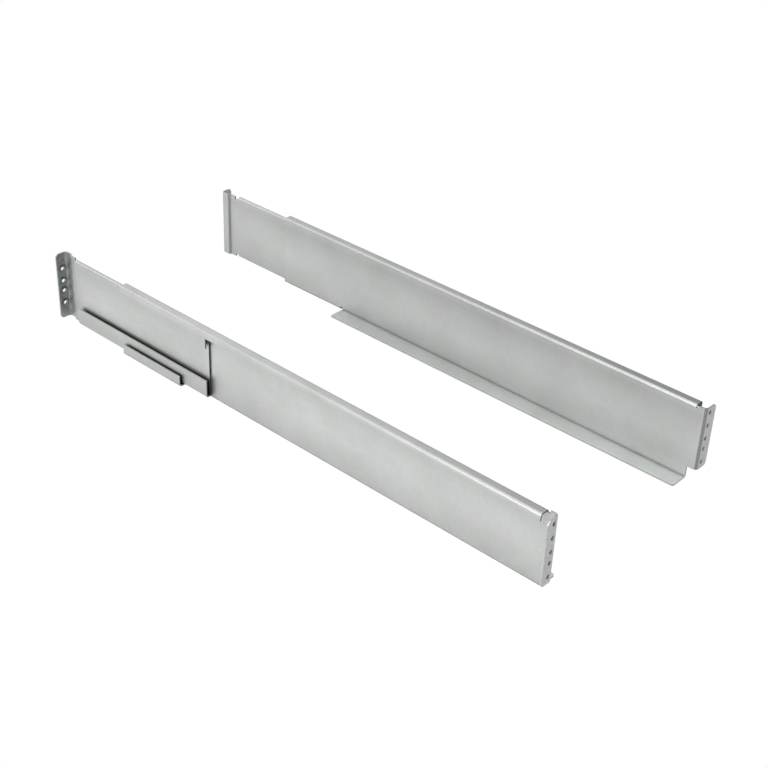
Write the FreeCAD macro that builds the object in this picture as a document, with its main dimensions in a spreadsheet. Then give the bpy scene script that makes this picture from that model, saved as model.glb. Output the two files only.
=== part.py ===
"""Adjustable four-post rack rail pair, two units high, in bent zinc-plated sheet steel.

Each rail is a lipped front rail with a support shelf, and a rear extension that telescopes inside it.
Frame: +X points to the front of the rack, +Z up, and the origin lies under the middle of the pair.
Across a rail, sizes are measured outwards from the inner face of the front rail's web.
Lengths are in millimetres.
"""
import FreeCAD, Part
import math
import os
from types import SimpleNamespace

import Sketcher

RIGHT = 1
LEFT = -1
SIDES = (("left", LEFT), ("right", RIGHT))

DIMENSIONS = (
    # The rack's hole grid and how the pair stands
    ("pair_spacing", 260.0),
    ("hole_line", 7.55),
    ("first_hole", 22.225),
    ("long_pitch", 15.875),
    ("short_pitch", 12.7),
    ("rest_reach", 719.0),
    # Front rail
    ("rail_thickness", 1.5),
    ("rail_length", 604.0),
    ("rail_height", 88.9),
    ("rail_bend_radius", 1.5),
    ("channel_depth", 12.0),
    ("top_lip_height", 8.0),
    ("channel_setback", 12.5),
    ("hook_length", 98.0),
    ("hook_height", 13.2),
    ("shelf_width", 22.0),
    ("shelf_setback", 11.5),
    ("shelf_hook_gap", 4.0),
    ("shelf_corner_radius", 3.0),
    ("lip_corner_radius", 1.0),
    ("web_slit_height", 4.0),
    # Front ear
    ("front_ear_width", 17.5),
    ("front_ear_base", 14.3),
    ("front_ear_bend_radius", 3.5),
    ("front_ear_corner_radius", 4.5),
    ("front_relief_width", 3.0),
    ("front_relief_depth", 3.0),
    ("front_hole_diameter", 4.4),
    ("front_collar_diameter", 6.6),
    # Depth of the plunged holes, alike in the front and the rear ears
    ("collar_length", 1.8),
    ("hole_chamfer", 0.8),
    # Rear extension
    ("slide_gap", 0.3),
    ("base_clearance", 1.0),
    ("top_clearance", 1.2),
    ("extension_thickness", 1.5),
    ("extension_length", 254.0),
    ("extension_depth", 6.4),
    ("extension_lip_height", 21.3),
    ("extension_bend_radius", 1.5),
    ("extension_setback", 27.5),
    ("extension_corner_radius", 3.0),
    ("rear_relief_width", 4.5),
    ("rear_relief_depth", 3.2),
    # Rear ear
    ("rear_ear_width", 15.4),
    ("rear_ear_inset", 2.3),
    ("rear_ear_bend_radius", 3.4),
    ("rear_ear_corner_radius", 4.5),
    ("rear_strip_length", 11.8),
    ("joggle_length", 3.0),
    ("joggle_depth", 2.7),
    ("rear_hole_diameter", 5.2),
    ("rear_collar_diameter", 7.2),
)


class Size:
    """A length that knows its value and the spreadsheet expression that drives it."""

    def __init__(self, value, text=None):
        self.value = value
        self.text = text or str(value)

    def __add__(self, other):
        return Size(self.value + other.value, f"({self.text} + {other.text})")

    def __sub__(self, other):
        return Size(self.value - other.value, f"({self.text} - {other.text})")

    def __mul__(self, other):
        factor = other if isinstance(other, Size) else Size(other)
        return Size(self.value * factor.value, f"({self.text} * {factor.text})")

    def __truediv__(self, other):
        divisor = other if isinstance(other, Size) else Size(other)
        return Size(self.value / divisor.value, f"({self.text} / {divisor.text})")

    def __neg__(self):
        return self * -1

    def root(self):
        return Size(math.sqrt(self.value), f"sqrt({self.text})")


ZERO = Size(0)


def make_sheet(doc):
    """Write the driving dimensions to a spreadsheet and return them as sizes."""
    sheet = doc.addObject("Spreadsheet::Sheet", "Dimensions")
    for row, (alias, value) in enumerate(DIMENSIONS, start=1):
        sheet.set(f"A{row}", alias)
        sheet.set(f"B{row}", str(value))
        sheet.setAlias(f"B{row}", alias)
    doc.recompute()
    return SimpleNamespace(**{alias: Size(value, f"Dimensions.{alias}") for alias, value in DIMENSIONS})


def add_derived_sizes(d):
    """Work out the sizes that several sub-parts share."""
    d.top = d.rail_height
    d.web_outer = d.rail_thickness
    d.rail_outer_bend = d.rail_bend_radius + d.rail_thickness
    d.front_ear_outer_bend = d.front_ear_bend_radius + d.rail_thickness
    d.extension_inner = d.rail_thickness + d.slide_gap
    d.extension_outer = d.extension_inner + d.extension_depth
    d.extension_base = d.rail_thickness + d.base_clearance
    d.extension_top = d.rail_height - d.rail_thickness - d.top_clearance
    d.extension_outer_bend = d.extension_bend_radius + d.extension_thickness
    d.rear_ear_outer_bend = d.rear_ear_bend_radius + d.extension_thickness
    d.strip_inner = d.extension_inner - d.joggle_depth
    d.strip_outer = d.strip_inner + d.extension_thickness
    d.rear_ear_base = d.rear_ear_inset
    d.rear_ear_top = d.rail_height - d.rear_ear_inset
    slope = (d.joggle_length * d.joggle_length + d.joggle_depth * d.joggle_depth).root()
    d.joggle_shift = (slope - d.joggle_length) * d.extension_thickness / d.joggle_depth
    d.shelf_rear = d.rail_length - d.hook_length - d.shelf_hook_gap
    d.half_reach = d.rest_reach / 2
    d.web_offset = d.pair_spacing / 2 - d.hole_line
    holes = [d.first_hole]
    for pitch in (d.long_pitch, d.short_pitch, d.long_pitch, d.long_pitch):
        holes.append(holes[-1] + pitch)
    d.front_holes = holes
    d.rear_holes = holes[:-1]


# Sketch and feature helpers

def new_body(doc, label):
    body = doc.addObject("PartDesign::Body", label)
    body.Label = label
    return body


def place(part, x, y):
    """Put a sub-part at x, y on the floor, tied to the spreadsheet."""
    part.Placement = FreeCAD.Placement(FreeCAD.Vector(x.value, y.value, 0), FreeCAD.Rotation())
    part.setExpression("Placement.Base.x", x.text)
    part.setExpression("Placement.Base.y", y.text)


def new_sketch(body, name, plane, offset):
    """Start a sketch parallel to one of the body's origin planes, offset along its normal."""
    sketch = body.newObject("Sketcher::SketchObject", name)
    origin_plane = next(item for item in body.Origin.OriginFeatures if item.Role == plane)
    sketch.AttachmentSupport = [(origin_plane, "")]
    sketch.MapMode = "FlatFace"
    sketch.AttachmentOffset = FreeCAD.Placement(FreeCAD.Vector(0, 0, offset.value), FreeCAD.Rotation())
    sketch.setExpression("AttachmentOffset.Base.z", offset.text)
    return sketch


def pin_point(sketch, geometry, point, across, up):
    """Tie a sketch point to its two coordinates."""
    for kind, axis, size in (("DistanceX", -2, across), ("DistanceY", -1, up)):
        if size is ZERO:
            sketch.addConstraint(Sketcher.Constraint("PointOnObject", geometry, point, axis))
            continue
        index = sketch.addConstraint(Sketcher.Constraint(kind, -1, 1, geometry, point, size.value))
        sketch.setExpression(f"Constraints[{index}]", size.text)


def draw_outline(sketch, corners):
    """Draw a closed outline through the corners and pin each of them."""
    points = [FreeCAD.Vector(across.value, up.value, 0) for across, up in corners]
    count = len(points)
    for index in range(count):
        sketch.addGeometry(Part.LineSegment(points[index], points[(index + 1) % count]), False)
    for index in range(count):
        sketch.addConstraint(Sketcher.Constraint("Coincident", index, 2, (index + 1) % count, 1))
    for index, (across, up) in enumerate(corners):
        pin_point(sketch, index, 1, across, up)


def pad(body, name, plane, offset, corners, length, reverse=False):
    """Pad a closed outline by a length along its plane's normal, or against it."""
    sketch = new_sketch(body, name + "_outline", plane, offset)
    draw_outline(sketch, corners)
    feature = body.newObject("PartDesign::Pad", name)
    feature.Profile = sketch
    feature.Length = length.value
    feature.setExpression("Length", length.text)
    feature.Reversed = reverse
    sketch.Visibility = False
    body.Document.recompute()


def circles_sketch(body, name, offset, across, heights, diameter):
    """Sketch a column of equal circles on a plane that faces +X."""
    sketch = new_sketch(body, name + "_circles", "YZ_Plane", offset)
    for index, height in enumerate(heights):
        centre = FreeCAD.Vector(across.value, height.value, 0)
        circle = Part.Circle(centre, FreeCAD.Vector(0, 0, 1), diameter.value / 2)
        sketch.addGeometry(circle, False)
        pin_point(sketch, index, 3, across, height)
        bore = sketch.addConstraint(Sketcher.Constraint("Diameter", index, diameter.value))
        sketch.setExpression(f"Constraints[{bore}]", diameter.text)
    sketch.Visibility = False
    return sketch


def add_discs(body, name, offset, across, heights, diameter, length):
    """Pad a column of discs towards -X."""
    feature = body.newObject("PartDesign::Pad", name)
    feature.Profile = circles_sketch(body, name, offset, across, heights, diameter)
    feature.Length = length.value
    feature.setExpression("Length", length.text)
    feature.Reversed = True
    body.Document.recompute()


def drill(body, name, offset, across, heights, diameter, depth):
    """Pocket a column of round holes towards -X and check how much they remove."""
    before = body.Shape.Volume
    feature = body.newObject("PartDesign::Pocket", name)
    feature.Profile = circles_sketch(body, name, offset, across, heights, diameter)
    feature.Length = depth.value
    feature.setExpression("Length", depth.text)
    feature.Reversed = False
    body.Document.recompute()
    removed = before - body.Shape.Volume
    expected = len(heights) * math.pi * diameter.value ** 2 / 4 * depth.value
    if abs(removed - expected) > 0.01 * expected:
        raise RuntimeError(f"{body.Label}: {name} removed {removed:.1f} mm3 and not {expected:.1f}")


def edges_at(body, direction, points):
    """Name the straight edges along a direction that pass through the given points."""
    names = []
    for point in points:
        vertex = Part.Vertex(FreeCAD.Vector(*[size.value for size in point]))
        for number, edge in enumerate(body.Shape.Edges, start=1):
            if edge.Curve.TypeId != "Part::GeomLine":
                continue
            aligned = abs(edge.Curve.Direction.dot(direction)) > 0.999
            if aligned and edge.distToShape(vertex)[0] < 0.01:
                names.append(f"Edge{number}")
                break
        else:
            raise RuntimeError(f"{body.Label}: no edge at {[round(size.value, 2) for size in point]}")
    return names


def rims_at(body, across, diameter):
    """Name the round hole edges of a diameter that lie in a plane x = across."""
    names = []
    for number, edge in enumerate(body.Shape.Edges, start=1):
        if edge.Curve.TypeId != "Part::GeomCircle":
            continue
        same_size = abs(edge.Curve.Radius - diameter.value / 2) < 0.001
        if same_size and abs(edge.Curve.Center.x - across.value) < 0.001:
            names.append(f"Edge{number}")
    return names


def dress_edges(body, kind, name, names, size_property, size):
    """Add a fillet or a chamfer on the named edges of the body's current shape."""
    base = body.Tip
    feature = body.newObject(f"PartDesign::{kind}", name)
    feature.Base = (base, names)
    setattr(feature, size_property, size.value)
    feature.setExpression(size_property, size.text)
    body.Document.recompute()


def fillet(body, name, direction, points, radius):
    """Round the straight edges along a direction at the given points."""
    dress_edges(body, "Fillet", name, edges_at(body, direction, points), "Radius", radius)


def chamfer_holes(body, name, across, diameter, size):
    """Chamfer the holes of a diameter where they open in the plane x = across."""
    dress_edges(body, "Chamfer", name, rims_at(body, across, diameter), "Size", size)


ALONG_X = FreeCAD.Vector(1, 0, 0)
ALONG_Y = FreeCAD.Vector(0, 1, 0)
ALONG_Z = FreeCAD.Vector(0, 0, 1)


# Front rail: lipped channel, hook lip, shelf and front ear in one bent sheet

def add_rail_channel(body, d, side):
    """Web, top flange and down-turned lip, from the rear end to just behind the ear."""
    rear = -d.rail_length
    lip_base = d.top - d.top_lip_height
    lip_inner = d.channel_depth - d.rail_thickness
    flange_base = d.top - d.rail_thickness
    corners = (
        (ZERO, d.web_slit_height),
        (ZERO, d.top),
        (d.channel_depth * side, d.top),
        (d.channel_depth * side, lip_base),
        (lip_inner * side, lip_base),
        (lip_inner * side, flange_base),
        (d.web_outer * side, flange_base),
        (d.web_outer * side, d.web_slit_height),
    )
    pad(body, "channel", "YZ_Plane", rear, corners, d.rail_length - d.channel_setback)


def add_rail_hook(body, d, side):
    """Outward hook lip along the rear of the bottom edge, which holds the extension in."""
    lip_inner = d.channel_depth - d.rail_thickness
    corners = (
        (ZERO, ZERO),
        (ZERO, d.web_slit_height),
        (d.web_outer * side, d.web_slit_height),
        (d.web_outer * side, d.rail_thickness),
        (lip_inner * side, d.rail_thickness),
        (lip_inner * side, d.hook_height),
        (d.channel_depth * side, d.hook_height),
        (d.channel_depth * side, ZERO),
    )
    pad(body, "hook", "YZ_Plane", -d.rail_length, corners, d.hook_length)


def add_rail_shelf(body, d, side):
    """Inward support shelf along the rest of the bottom edge."""
    corners = (
        (-d.shelf_width * side, ZERO),
        (-d.shelf_width * side, d.rail_thickness),
        (ZERO, d.rail_thickness),
        (ZERO, d.web_slit_height),
        (d.web_outer * side, d.web_slit_height),
        (d.web_outer * side, ZERO),
    )
    pad(body, "shelf", "YZ_Plane", -d.shelf_rear, corners, d.shelf_rear - d.shelf_setback)


def add_rail_front(body, d, side):
    """Web in front of the channel, with a relief notch above, and the ear bent outwards."""
    overlap_rear = -(d.channel_setback + d.front_relief_width)
    relief_front = -(d.channel_setback - d.front_relief_width)
    relief_base = d.top - d.front_relief_depth
    side_view = (
        (overlap_rear, d.web_slit_height),
        (-d.shelf_setback, d.web_slit_height),
        (-d.shelf_setback, d.front_ear_base),
        (relief_front, d.front_ear_base),
        (relief_front, relief_base),
        (overlap_rear, relief_base),
    )
    pad(body, "front_web", "XZ_Plane", ZERO, side_view, d.rail_thickness, reverse=side == RIGHT)
    top_view = (
        (relief_front, ZERO),
        (ZERO, ZERO),
        (ZERO, d.front_ear_width * side),
        (-d.rail_thickness, d.front_ear_width * side),
        (-d.rail_thickness, d.web_outer * side),
        (relief_front, d.web_outer * side),
    )
    pad(body, "front_ear", "XY_Plane", d.front_ear_base, top_view, d.top - d.front_ear_base)


def bend_rail(body, d, side):
    """Round the bends and the cut corners of the front rail."""
    middle = -d.rail_length / 2
    lip_inner = d.channel_depth - d.rail_thickness
    flange_base = d.top - d.rail_thickness
    hook_middle = -d.rail_length + d.hook_length / 2
    ear_middle = (d.top + d.front_ear_base) / 2
    inner_bends = (
        (middle, d.web_outer * side, flange_base),
        (middle, lip_inner * side, flange_base),
        (middle, ZERO, d.rail_thickness),
        (hook_middle, d.web_outer * side, d.rail_thickness),
        (hook_middle, lip_inner * side, d.rail_thickness),
    )
    outer_bends = (
        (middle, ZERO, d.top),
        (middle, d.channel_depth * side, d.top),
        (middle, d.web_outer * side, ZERO),
        (hook_middle, ZERO, ZERO),
        (hook_middle, d.channel_depth * side, ZERO),
    )
    fillet(body, "inner_bends", ALONG_X, inner_bends, d.rail_bend_radius)
    fillet(body, "outer_bends", ALONG_X, outer_bends, d.rail_outer_bend)
    ear_root = (-d.rail_thickness, d.web_outer * side, ear_middle)
    fillet(body, "ear_inner_bend", ALONG_Z, (ear_root,), d.front_ear_bend_radius)
    fillet(body, "ear_outer_bend", ALONG_Z, ((ZERO, ZERO, ear_middle),), d.front_ear_outer_bend)


def tap_front_ear(body, d, side):
    """Plunged holes in the ear, with collars behind it that give the threads their depth."""
    across = d.hole_line * side
    depth = d.rail_thickness + d.collar_length
    add_discs(body, "collars", -d.rail_thickness, across, d.front_holes, d.front_collar_diameter,
              d.collar_length)
    drill(body, "tapped_holes", ZERO, across, d.front_holes, d.front_hole_diameter, depth)
    chamfer_holes(body, "hole_chamfers", ZERO, d.front_hole_diameter, d.hole_chamfer)


def trim_rail(body, d, side):
    """Round the free corners of the ear, the shelf and the lips."""
    half = d.rail_thickness / 2
    ear_edge = d.front_ear_width * side
    ear_levels = (d.front_ear_base, d.top)
    fillet(body, "ear_corners", ALONG_X, [(-half, ear_edge, level) for level in ear_levels],
           d.front_ear_corner_radius)
    shelf_edge = -d.shelf_width * side
    shelf_ends = (-d.shelf_setback, -d.shelf_rear)
    fillet(body, "shelf_corners", ALONG_Z, [(end, shelf_edge, half) for end in shelf_ends],
           d.shelf_corner_radius)
    lip_middle = (d.channel_depth - half) * side
    lip_base = d.top - d.top_lip_height
    lip_corners = (
        (-d.rail_length, lip_middle, lip_base),
        (-d.rail_length, lip_middle, d.hook_height),
        (-d.rail_length + d.hook_length, lip_middle, d.hook_height),
    )
    fillet(body, "lip_corners", ALONG_Y, lip_corners, d.lip_corner_radius)


def build_front_rail(doc, d, name, side):
    body = new_body(doc, f"{name}_front_rail")
    add_rail_channel(body, d, side)
    add_rail_hook(body, d, side)
    add_rail_shelf(body, d, side)
    add_rail_front(body, d, side)
    bend_rail(body, d, side)
    trim_rail(body, d, side)
    tap_front_ear(body, d, side)
    place(body, d.half_reach, d.web_offset * side)
    return body


# Rear extension: lipped channel that nests in the front rail, and a joggled rear ear

def add_extension_channel(body, d, side):
    """Web with a flange and a turned lip along both edges."""
    web_outer = d.extension_inner + d.extension_thickness
    lip_inner = d.extension_outer - d.extension_thickness
    low_inside = d.extension_base + d.extension_thickness
    high_inside = d.extension_top - d.extension_thickness
    low_lip = d.extension_base + d.extension_lip_height
    high_lip = d.extension_top - d.extension_lip_height
    corners = (
        (d.extension_inner * side, d.extension_base),
        (d.extension_inner * side, d.extension_top),
        (d.extension_outer * side, d.extension_top),
        (d.extension_outer * side, high_lip),
        (lip_inner * side, high_lip),
        (lip_inner * side, high_inside),
        (web_outer * side, high_inside),
        (web_outer * side, low_inside),
        (lip_inner * side, low_inside),
        (lip_inner * side, low_lip),
        (d.extension_outer * side, low_lip),
        (d.extension_outer * side, d.extension_base),
    )
    length = d.extension_length - d.extension_setback
    pad(body, "channel", "YZ_Plane", d.extension_setback, corners, length)


def add_extension_tail(body, d, side):
    """Flat web behind the channel, joggled inwards past the rail's web, and the ear bent outwards."""
    web_outer = d.extension_inner + d.extension_thickness
    ear_edge = d.strip_inner + d.rear_ear_width
    joggle_end = d.rear_strip_length + d.joggle_length
    relief_rear = d.extension_setback - d.rear_relief_width
    top_view = (
        (ZERO, d.strip_inner * side),
        (d.rear_strip_length, d.strip_inner * side),
        (joggle_end, d.extension_inner * side),
        (relief_rear, d.extension_inner * side),
        (relief_rear, web_outer * side),
        (joggle_end - d.joggle_shift, web_outer * side),
        (d.rear_strip_length - d.joggle_shift, d.strip_outer * side),
        (d.extension_thickness, d.strip_outer * side),
        (d.extension_thickness, ear_edge * side),
        (ZERO, ear_edge * side),
    )
    pad(body, "tail", "XY_Plane", d.rear_ear_base, top_view, d.rear_ear_top - d.rear_ear_base)
    neck = (
        (relief_rear, d.extension_inner * side),
        (d.extension_setback, d.extension_inner * side),
        (d.extension_setback, web_outer * side),
        (relief_rear, web_outer * side),
    )
    neck_base = d.extension_base + d.rear_relief_depth
    neck_height = d.extension_top - d.rear_relief_depth - neck_base
    pad(body, "neck", "XY_Plane", neck_base, neck, neck_height)


def bend_extension(body, d, side):
    """Round the bends of the extension's channel, ear and joggle."""
    middle = (d.extension_length + d.extension_setback) / 2
    web_outer = d.extension_inner + d.extension_thickness
    lip_inner = d.extension_outer - d.extension_thickness
    inner_bends = []
    for level in (d.extension_base + d.extension_thickness, d.extension_top - d.extension_thickness):
        for across in (web_outer, lip_inner):
            inner_bends.append((middle, across * side, level))
    outer_bends = []
    for level in (d.extension_base, d.extension_top):
        for across in (d.extension_inner, d.extension_outer):
            outer_bends.append((middle, across * side, level))
    fillet(body, "inner_bends", ALONG_X, inner_bends, d.extension_bend_radius)
    fillet(body, "outer_bends", ALONG_X, outer_bends, d.extension_outer_bend)
    level = (d.extension_base + d.extension_top) / 2
    ear_root = (d.extension_thickness, d.strip_outer * side, level)
    ear_heel = (ZERO, d.strip_inner * side, level)
    fillet(body, "ear_inner_bend", ALONG_Z, (ear_root,), d.rear_ear_bend_radius)
    fillet(body, "ear_outer_bend", ALONG_Z, (ear_heel,), d.rear_ear_outer_bend)
    joggle_end = d.rear_strip_length + d.joggle_length
    joggle_insides = (
        (joggle_end, d.extension_inner * side, level),
        (d.rear_strip_length - d.joggle_shift, d.strip_outer * side, level),
    )
    joggle_outsides = (
        (d.rear_strip_length, d.strip_inner * side, level),
        (joggle_end - d.joggle_shift, web_outer * side, level),
    )
    fillet(body, "joggle_inner_bends", ALONG_Z, joggle_insides, d.extension_bend_radius)
    fillet(body, "joggle_outer_bends", ALONG_Z, joggle_outsides, d.extension_outer_bend)


def tap_rear_ear(body, d, side):
    """Plunged holes in the ear, with collars on its front side that give the threads their depth."""
    across = d.hole_line * side
    depth = d.extension_thickness + d.collar_length
    add_discs(body, "collars", depth, across, d.rear_holes, d.rear_collar_diameter, d.collar_length)
    drill(body, "tapped_holes", depth, across, d.rear_holes, d.rear_hole_diameter, depth)
    chamfer_holes(body, "hole_chamfers", ZERO, d.rear_hole_diameter, d.hole_chamfer)


def trim_extension(body, d, side):
    """Round the free corners of the ear and of the lips' rear ends."""
    half = d.extension_thickness / 2
    ear_edge = (d.strip_inner + d.rear_ear_width) * side
    ear_levels = (d.rear_ear_base, d.rear_ear_top)
    fillet(body, "ear_corners", ALONG_X, [(half, ear_edge, level) for level in ear_levels],
           d.rear_ear_corner_radius)
    lip_middle = (d.extension_outer - half) * side
    lip_levels = (d.extension_base + d.extension_lip_height, d.extension_top - d.extension_lip_height)
    fillet(body, "lip_corners", ALONG_Y,
           [(d.extension_setback, lip_middle, level) for level in lip_levels],
           d.extension_corner_radius)


def build_rear_extension(doc, d, name, side):
    body = new_body(doc, f"{name}_rear_extension")
    add_extension_channel(body, d, side)
    add_extension_tail(body, d, side)
    bend_extension(body, d, side)
    trim_extension(body, d, side)
    tap_rear_ear(body, d, side)
    place(body, -d.half_reach, d.web_offset * side)
    return body


def check_document(doc, parts):
    """Stop if any feature failed or any sub-part is not a sound solid."""
    for item in doc.Objects:
        if "Invalid" in item.State or "Error" in item.State:
            raise RuntimeError(f"{item.Label} did not build: {item.State}")
    for part in parts:
        shape = part.Shape
        if shape.isNull() or not shape.isValid() or not shape.Solids:
            raise RuntimeError(f"{part.Label} has no valid solid")


def build():
    doc = FreeCAD.newDocument("rack_rail_pair")
    d = make_sheet(doc)
    add_derived_sizes(d)
    parts = []
    for name, side in SIDES:
        parts.append(build_front_rail(doc, d, name, side))
        parts.append(build_rear_extension(doc, d, name, side))
    doc.recompute()
    check_document(doc, parts)
    return parts


def export(parts):
    """Write each sub-part to its own STEP file."""
    os.makedirs("parts", exist_ok=True)
    for part in parts:
        part.Shape.exportStep(f"parts/{part.Label}.step")
        box = part.Shape.BoundBox
        print(f"{part.Label}: {len(part.Shape.Solids)} solid(s), {part.Shape.Volume / 1000:.1f} cm3, "
              f"x {box.XMin:.1f}..{box.XMax:.1f}, y {box.YMin:.1f}..{box.YMax:.1f}, "
              f"z {box.ZMin:.1f}..{box.ZMax:.1f}")


export(build())
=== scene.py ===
"""Looks of the rack rail pair: zinc-plated steel in a white studio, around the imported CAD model."""

import math

import bpy
from mathutils import Euler, Matrix, Vector


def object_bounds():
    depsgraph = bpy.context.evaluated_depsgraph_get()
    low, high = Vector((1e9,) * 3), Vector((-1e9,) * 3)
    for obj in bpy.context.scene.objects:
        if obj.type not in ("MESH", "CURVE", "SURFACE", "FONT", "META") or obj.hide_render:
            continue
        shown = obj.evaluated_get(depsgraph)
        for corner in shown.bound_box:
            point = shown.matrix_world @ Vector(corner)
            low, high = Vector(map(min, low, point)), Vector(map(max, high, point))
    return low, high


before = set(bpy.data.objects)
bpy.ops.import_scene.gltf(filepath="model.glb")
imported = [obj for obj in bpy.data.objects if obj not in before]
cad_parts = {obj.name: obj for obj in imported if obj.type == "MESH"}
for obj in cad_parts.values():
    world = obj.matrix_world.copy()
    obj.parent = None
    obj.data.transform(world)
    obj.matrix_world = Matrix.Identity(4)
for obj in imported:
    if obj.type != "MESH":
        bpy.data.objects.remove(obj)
cad_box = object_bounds()
floor_height = cad_box[0][2]
rail_height = cad_box[1][2] - floor_height

RAILS = ("left_front_rail", "right_front_rail")
EXTENSIONS = ("left_rear_extension", "right_rear_extension")

# Camera, in metres, degrees and millimetres of lens
CAMERA_PLACE = (0.9167, -1.0019, 0.8590)
CAMERA_AZIMUTH = 41.28
CAMERA_PITCH = 31.94
CAMERA_ROLL = 2.45
CAMERA_LENS = 67.57
CAMERA_CLIP = 100.0

# Floor and sky. The floor lies just below the object, and shows a part of its white in the metal.
FLOOR_SIZE = 40.0
FLOOR_DROP = 0.001
FLOOR_GREY = 0.9
FLOOR_GLOW_IN_GLOSS = 0.30
WORLD_LEVEL = 0.31
WHITE = (1.0, 1.0, 1.0, 1.0)

# Soft boxes, all turned to the middle of the rails: direction, side in metres, power in watts
LAMP_DISTANCE = 2.2
LAMPS = {
    "front": ((0.10, -0.92, 0.38), 1.4, 36.0),
    "left": ((-0.90, -0.10, 0.42), 1.4, 6.0),
    "high_left": ((-0.56, -0.52, 0.65), 2.4, 12.0),
    "overhead": ((0.0, 0.0, 1.0), 1.8, 18.0),
    "back_left": ((-0.74, 0.36, 0.57), 1.4, 3.8),
    "back_fill": ((-0.50, 0.52, 0.69), 1.2, 2.6),
}

# Zinc plating: tint, lowest and highest roughness, strength of the rolling grain, tone of the
# darkest speckles
ZINC = {
    "rail": ((0.632, 0.644, 0.638), (0.38, 0.50), 0.12, 0.94),
    "extension": ((0.615, 0.627, 0.621), (0.38, 0.50), 0.12, 0.94),
    # The ears' tints are darker than the rail's as painted shade, the rear ear's most; their stronger
    # grain and mottle are the plating's own
    "front_ear": ((0.57, 0.585, 0.58), (0.36, 0.52), 0.30, 0.80),
    "shaded_rear_ear": ((0.41, 0.43, 0.45), (0.36, 0.52), 0.30, 0.70),
    # Dark tint of the vertical bends, joggles and shelf crease: painted shade
    "shaded_fold": ((0.32, 0.325, 0.325), (0.45, 0.55), 0.20, 0.90),
    # The top flanges' darker tint is painted shade
    "shaded_flange": ((0.545, 0.555, 0.55), (0.38, 0.50), 0.12, 0.95),
    # The shelf's lighter tint is painted light, reflected from the web above it
    "shelf": ((0.77, 0.785, 0.778), (0.38, 0.50), 0.12, 0.95),
    # The rims' light tint is a painted highlight on the upward chamfer faces round the holes
    "highlit_rim": ((0.90, 0.91, 0.905), (0.36, 0.50), 0.20, 0.95),
}
REFLECTION_BANDED = ("rail", "extension")

# Patterns in the plating, with scales per metre, and their tones as (position, colour) stops:
# wide clouds, a finer film and speckles
CLOUDS = {"Scale": 16.0, "Detail": 4.0, "Roughness": 0.55}
CLOUD_STOPS = ((0.32, (0.90, 0.90, 0.90)), (0.68, (1.0, 1.0, 1.0)))
FILM = {"Scale": 34.0, "Detail": 2.0, "Roughness": 0.5}
FILM_STOPS = ((0.38, (0.985, 1.0, 0.975)), (0.62, (1.0, 0.985, 1.0)))
SPECKLES = {"Scale": 420.0}

# Painted shade: darkening in corners and inside folds, where other steel stands close, with its reach
# in metres
CORNER_SHADE_REACH = 0.0035
CORNER_SHADE_STOPS = ((0.45, (0.25, 0.26, 0.26)), (0.92, (1.0, 1.0, 1.0)))
INSIDE_SHADE_REACH = 0.0140
INSIDE_SHADE_STOPS = ((0.12, (0.15, 0.15, 0.15)), (0.50, (1.0, 1.0, 1.0)))
SHADE_SAMPLES = 8

# Painted reflection band: grey tone of the sheet at shares of the rail's height, darker towards its
# top and bottom
REFLECTION_BAND_STOPS = ((0.05, 0.88), (0.45, 1.0), (0.68, 0.96), (0.89, 0.85), (0.97, 0.94))

# Rolling grain, and drag marks of the punch on a sheared edge: stretch per metre along X, Y and Z,
# and depth in metres
GRAIN_STRETCH = (60.0, 900.0, 900.0)
GRAIN = {"Detail": 3.0, "Roughness": 0.6}
GRAIN_DEPTH = 0.0001
DRAG_STRETCH = (300.0, 300.0, 1500.0)
DRAG = {"Detail": 2.0, "Roughness": 0.6}
# The drag marks' dark tones are partly the cut steel's own colour and partly painted shade of the
# gaps and channel ends beside the edges
DRAG_AND_SHADE_STOPS = ((0.3, (0.066, 0.066, 0.069)), (0.7, (0.11, 0.11, 0.115)))
DRAG_GLOSS = (0.45, 0.65)

# Limits that tell the faces of the steel apart: distance from the middle along X and height above
# the floor in metres, and parts of the face's normal
EAR_ZONE = 0.3540
SHELF_ZONE = 0.0040
FLANGE_ZONE = 0.0860
EDGE_NORMAL = 0.85
EAR_NORMAL = 0.30
SHADED_FOLD_NORMAL = 0.38

# Tapped holes of the ears, in metres. The reach takes in the chamfer round a hole.
HOLE_LINE = 0.130
HOLE_HEIGHTS = (0.022225, 0.0381, 0.0508, 0.066675, 0.08255)
HOLE_REACH = 0.0034
THREAD_PITCH = 0.0008
THREAD_DEPTH = 0.0004
THREAD_STRENGTH = 0.9
# Thread tones: painted shade at the root and a painted highlight on the crest, dark overall as
# painted shade inside the hole
THREAD_LIGHT_AND_SHADE_STOPS = ((0.2, (0.105, 0.1085, 0.1085)), (0.8, (0.30, 0.31, 0.31)))
THREAD_GLOSS = 0.35

# A wave texture of scale 1 turns by 20 radians in a metre
WAVE_RADIANS = 20

# Socket numbers of a Mix node that mixes colours
MIX_FACTOR, MIX_FIRST, MIX_SECOND, MIX_RESULT = 0, 6, 7, 2


# Node helpers

def new_material(name):
    material = bpy.data.materials.new(name)
    material.use_nodes = True
    nodes = material.node_tree.nodes
    nodes.clear()
    return material, nodes, material.node_tree.links


def add_node(nodes, kind, **values):
    """Add a shader node and set its properties and input sockets by name."""
    node = nodes.new(kind)
    for key, value in values.items():
        if hasattr(node, key):
            setattr(node, key, value)
        else:
            node.inputs[key.replace("_", " ")].default_value = value
    return node


def add_ramp(nodes, links, value, stops):
    """Turn a value into a colour by (position, colour) stops."""
    ramp = add_node(nodes, "ShaderNodeValToRGB")
    elements = ramp.color_ramp.elements
    while len(elements) < len(stops):
        elements.new(1.0)
    for element, (position, colour) in zip(elements, stops):
        element.position = position
        element.color = (*colour, 1.0)
    links.new(value, ramp.inputs["Fac"])
    return ramp.outputs["Color"]


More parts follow.
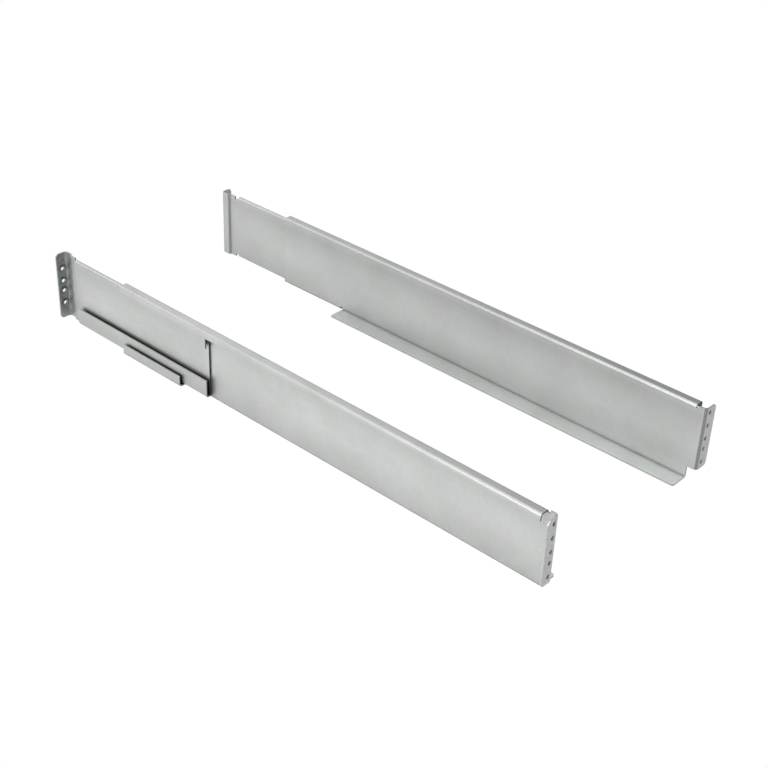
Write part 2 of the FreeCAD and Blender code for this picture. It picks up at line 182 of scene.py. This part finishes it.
def add_product(nodes, links, first, second):
    """Multiply two colours."""
    mix = add_node(nodes, "ShaderNodeMix", data_type="RGBA", blend_type="MULTIPLY")
    mix.inputs[MIX_FACTOR].default_value = 1.0
    links.new(first, mix.inputs[MIX_FIRST])
    links.new(second, mix.inputs[MIX_SECOND])
    return mix.outputs[MIX_RESULT]


def add_level(nodes, links, value, limits):
    """Stretch a value from 0 to 1 over the limits."""
    level = add_node(nodes, "ShaderNodeMapRange", To_Min=limits[0], To_Max=limits[1])
    links.new(value, level.inputs["Value"])
    return level.outputs["Result"]


def add_noise(nodes, links, place, **values):
    """Noise of the given scale, detail and roughness."""
    noise = add_node(nodes, "ShaderNodeTexNoise", **values)
    links.new(place, noise.inputs["Vector"])
    return noise.outputs["Fac"]


def add_streaks(nodes, links, place, stretch, **values):
    """Noise that is stretched by a number of cycles per metre along each axis."""
    mapping = add_node(nodes, "ShaderNodeMapping", Scale=stretch)
    links.new(place, mapping.inputs["Vector"])
    return add_noise(nodes, links, mapping.outputs["Vector"], Scale=1.0, **values)


def add_painted_shade(nodes, links, reach, stops):
    """Painted shade: darker where other steel stands closer than the reach."""
    space = add_node(nodes, "ShaderNodeAmbientOcclusion", samples=SHADE_SAMPLES, Distance=reach)
    return add_ramp(nodes, links, space.outputs["AO"], stops)


def grey(level):
    return (level, level, level)


# Stage

def make_floor():
    """A white floor that keeps a soft shadow and shows pure white to the camera."""
    bpy.ops.mesh.primitive_plane_add(size=FLOOR_SIZE, location=(0, 0, floor_height - FLOOR_DROP))
    floor = bpy.context.object
    floor.name = "floor"
    material, nodes, links = new_material("floor_white")
    output = add_node(nodes, "ShaderNodeOutputMaterial")
    diffuse = add_node(nodes, "ShaderNodeBsdfDiffuse", Color=(*grey(FLOOR_GREY), 1.0))
    glow = add_node(nodes, "ShaderNodeEmission", Color=WHITE, Strength=1.0)
    path = add_node(nodes, "ShaderNodeLightPath")
    in_gloss = add_node(nodes, "ShaderNodeMath", operation="MULTIPLY")
    in_gloss.inputs[1].default_value = FLOOR_GLOW_IN_GLOSS
    direct = add_node(nodes, "ShaderNodeMath", operation="MAXIMUM")
    seen = add_node(nodes, "ShaderNodeMath", operation="MAXIMUM")
    mix = add_node(nodes, "ShaderNodeMixShader")
    links.new(path.outputs["Is Glossy Ray"], in_gloss.inputs[0])
    links.new(path.outputs["Is Camera Ray"], direct.inputs[0])
    links.new(path.outputs["Is Transmission Ray"], direct.inputs[1])
    links.new(direct.outputs[0], seen.inputs[0])
    links.new(in_gloss.outputs[0], seen.inputs[1])
    links.new(seen.outputs[0], mix.inputs[0])
    links.new(diffuse.outputs[0], mix.inputs[1])
    links.new(glow.outputs[0], mix.inputs[2])
    links.new(mix.outputs[0], output.inputs["Surface"])
    floor.data.materials.append(material)


def make_world():
    """An even sky that the camera sees as white."""
    world = bpy.data.worlds.new("studio")
    bpy.context.scene.world = world
    world.use_nodes = True
    nodes, links = world.node_tree.nodes, world.node_tree.links
    nodes.clear()
    output = add_node(nodes, "ShaderNodeOutputWorld")
    light = add_node(nodes, "ShaderNodeBackground", Color=WHITE, Strength=WORLD_LEVEL)
    white = add_node(nodes, "ShaderNodeBackground", Color=WHITE, Strength=1.0)
    path = add_node(nodes, "ShaderNodeLightPath")
    mix = add_node(nodes, "ShaderNodeMixShader")
    links.new(path.outputs["Is Camera Ray"], mix.inputs[0])
    links.new(light.outputs[0], mix.inputs[1])
    links.new(white.outputs[0], mix.inputs[2])
    links.new(mix.outputs[0], output.inputs["Surface"])


def make_lamp(name, direction, side, power):
    """A square soft box that faces the middle of the rails."""
    data = bpy.data.lights.new(name, "AREA")
    data.shape = "SQUARE"
    data.size = side
    data.energy = power
    lamp = bpy.data.objects.new(name, data)
    bpy.context.scene.collection.objects.link(lamp)
    lamp.location = Vector(direction) * LAMP_DISTANCE
    lamp.rotation_euler = (-lamp.location).to_track_quat("-Z", "Y").to_euler()


def make_camera():
    """A camera that looks down on the rails, rolled about its own axis."""
    data = bpy.data.cameras.new("camera")
    data.lens = CAMERA_LENS
    data.clip_end = CAMERA_CLIP
    camera = bpy.data.objects.new("camera", data)
    bpy.context.scene.collection.objects.link(camera)
    azimuth = math.radians(CAMERA_AZIMUTH)
    pitch = math.radians(CAMERA_PITCH)
    look = Euler((math.pi / 2 - pitch, 0, azimuth)).to_matrix()
    roll = Matrix.Rotation(math.radians(CAMERA_ROLL), 3, "Z")
    camera.matrix_world = Matrix.Translation(CAMERA_PLACE) @ (look @ roll).to_4x4()
    bpy.context.scene.camera = camera


# Materials

def zinc_plate(name):
    """Satin zinc plating: a cloudy, faintly green and violet film over rolled sheet, with a fine
    grain along the rolling direction. Painted shade darkens it in corners and inside folds, and on
    the rail and the extension a painted reflection band makes it darker towards the top and the
    bottom of the sheet."""
    tint, gloss, grain_strength, mottle = ZINC[name]
    material, nodes, links = new_material("zinc_" + name)
    output = add_node(nodes, "ShaderNodeOutputMaterial")
    metal = add_node(nodes, "ShaderNodeBsdfPrincipled", Metallic=1.0)
    place = add_node(nodes, "ShaderNodeTexCoord").outputs["Object"]

    speckles = add_node(nodes, "ShaderNodeTexVoronoi", **SPECKLES)
    links.new(place, speckles.inputs["Vector"])
    speckle_stops = ((0.0, grey(mottle)), (1.0, grey(1.0)))
    tones = [
        add_ramp(nodes, links, add_noise(nodes, links, place, **CLOUDS), CLOUD_STOPS),
        add_ramp(nodes, links, add_noise(nodes, links, place, **FILM), FILM_STOPS),
        add_ramp(nodes, links, speckles.outputs["Color"], speckle_stops),
        # Painted shade in corners and inside folds
        add_painted_shade(nodes, links, CORNER_SHADE_REACH, CORNER_SHADE_STOPS),
        add_painted_shade(nodes, links, INSIDE_SHADE_REACH, INSIDE_SHADE_STOPS),
    ]
    # Painted reflection band along the height of the rail and the extension
    if name in REFLECTION_BANDED:
        height = add_node(nodes, "ShaderNodeSeparateXYZ")
        share = add_node(nodes, "ShaderNodeMapRange", From_Max=rail_height)
        links.new(place, height.inputs[0])
        links.new(height.outputs["Z"], share.inputs["Value"])
        reflection_band_stops = [(position, grey(level)) for position, level in REFLECTION_BAND_STOPS]
        tones.append(add_ramp(nodes, links, share.outputs["Result"], reflection_band_stops))
    base = add_node(nodes, "ShaderNodeRGB")
    base.outputs[0].default_value = (*tint, 1.0)
    colour = base.outputs[0]
    for tone in tones:
        colour = add_product(nodes, links, colour, tone)
    links.new(colour, metal.inputs["Base Color"])

    grain = add_streaks(nodes, links, place, GRAIN_STRETCH, **GRAIN)
    bump = add_node(nodes, "ShaderNodeBump", Strength=grain_strength, Distance=GRAIN_DEPTH)
    links.new(grain, bump.inputs["Height"])
    links.new(add_level(nodes, links, grain, gloss), metal.inputs["Roughness"])
    links.new(bump.outputs["Normal"], metal.inputs["Normal"])
    links.new(metal.outputs[0], output.inputs["Surface"])
    return material


def sheared_and_shaded_steel():
    """Rough cut edge with the drag marks of a punch, dark partly by its own colour and partly by
    painted shade.
    """
    material, nodes, links = new_material("cut_edge_and_shade")
    output = add_node(nodes, "ShaderNodeOutputMaterial")
    metal = add_node(nodes, "ShaderNodeBsdfPrincipled", Metallic=1.0)
    place = add_node(nodes, "ShaderNodeTexCoord").outputs["Object"]
    marks = add_streaks(nodes, links, place, DRAG_STRETCH, **DRAG)
    links.new(add_ramp(nodes, links, marks, DRAG_AND_SHADE_STOPS), metal.inputs["Base Color"])
    links.new(add_level(nodes, links, marks, DRAG_GLOSS), metal.inputs["Roughness"])
    links.new(metal.outputs[0], output.inputs["Surface"])
    return material


def tapped_steel():
    """Ridges of thread inside a hole, with a painted highlight at the crest and painted shade at the
    root.
    """
    material, nodes, links = new_material("thread")
    output = add_node(nodes, "ShaderNodeOutputMaterial")
    metal = add_node(nodes, "ShaderNodeBsdfPrincipled", Metallic=1.0, Roughness=THREAD_GLOSS)
    place = add_node(nodes, "ShaderNodeTexCoord").outputs["Object"]
    scale = math.tau / (WAVE_RADIANS * THREAD_PITCH)
    wave = add_node(nodes, "ShaderNodeTexWave", Scale=scale)
    links.new(place, wave.inputs["Vector"])
    ridges = wave.outputs["Fac"]
    bump = add_node(nodes, "ShaderNodeBump", Strength=THREAD_STRENGTH, Distance=THREAD_DEPTH)
    links.new(ridges, bump.inputs["Height"])
    links.new(add_ramp(nodes, links, ridges, THREAD_LIGHT_AND_SHADE_STOPS), metal.inputs["Base Color"])
    links.new(bump.outputs["Normal"], metal.inputs["Normal"])
    links.new(metal.outputs[0], output.inputs["Surface"])
    return material


def in_hole(point, height):
    """Is the point inside one of the tapped holes of the ears, or on the chamfer round it?"""
    off_line = abs(point.y) - HOLE_LINE
    return min(math.hypot(off_line, height - hole) for hole in HOLE_HEIGHTS) < HOLE_REACH


def finish_of(face):
    """Name the finish of a face of the steel. Several finishes carry painted shade, and the shelf and
    the rims painted light.
    """
    along, across, up = abs(face.normal.x), abs(face.normal.y), face.normal.z
    height = face.center.z - floor_height
    in_ear = abs(face.center.x) > EAR_ZONE
    ear = "front_ear" if face.center.x > 0 else "shaded_rear_ear"
    if in_ear and along < EDGE_NORMAL and in_hole(face.center, height):
        if along < EAR_NORMAL:
            return "thread"
        # Upward chamfer faces round a hole get a painted highlight, the others their ear's tint
        return "highlit_rim" if up > EAR_NORMAL else ear
    # Faces turned between X and Y, in the vertical bends and joggles, get painted shade
    if along > SHADED_FOLD_NORMAL and across > SHADED_FOLD_NORMAL:
        return "shaded_fold"
    # Near the floor, upward faces turned across get painted shade in the crease of the shelf bend
    if height < SHELF_ZONE and across > EAR_NORMAL:
        if up > EAR_NORMAL:
            return "shaded_fold"
        # Downward faces of the bottom bends take the dark cut edge finish as painted contact shade at
        # the floor
        if up < -EAR_NORMAL:
            return "cut_edge_and_shade"
    # Ear faces turned along X get their ear's tint with its painted shade
    if in_ear:
        return ear if along > EAR_NORMAL else "sheet"
    # Faces turned along X above the shelf are cut edges, dark partly by their own colour and partly
    # by painted shade
    if along > EDGE_NORMAL and height > SHELF_ZONE:
        return "cut_edge_and_shade"
    if up > EDGE_NORMAL:
        # Upward faces high on the rail get the darker tint of painted shade
        if height > FLANGE_ZONE:
            return "shaded_flange"
        # Upward faces at the floor get the lighter tint of painted light
        if height < SHELF_ZONE:
            return "shelf"
    return "sheet"


def dress(names, finishes):
    """Give each face of the steel its finish, several of which carry painted shade and painted light.
    """
    slots = {finish: slot for slot, finish in enumerate(finishes)}
    for name in names:
        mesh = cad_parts[name].data
        mesh.materials.clear()
        for material in finishes.values():
            mesh.materials.append(material)
        for face in mesh.polygons:
            face.material_index = slots[finish_of(face)]


make_world()
make_floor()
make_camera()
for lamp_name, (direction, side, power) in LAMPS.items():
    make_lamp(lamp_name, direction, side, power)
details = {
    "front_ear": zinc_plate("front_ear"),
    "shaded_rear_ear": zinc_plate("shaded_rear_ear"),
    "shaded_fold": zinc_plate("shaded_fold"),
    "cut_edge_and_shade": sheared_and_shaded_steel(),
    "thread": tapped_steel(),
    "shaded_flange": zinc_plate("shaded_flange"),
    "shelf": zinc_plate("shelf"),
    "highlit_rim": zinc_plate("highlit_rim"),
}
dress(RAILS, {"sheet": zinc_plate("rail"), **details})
dress(EXTENSIONS, {"sheet": zinc_plate("extension"), **details})
bpy.context.scene.view_settings.view_transform = "Standard"
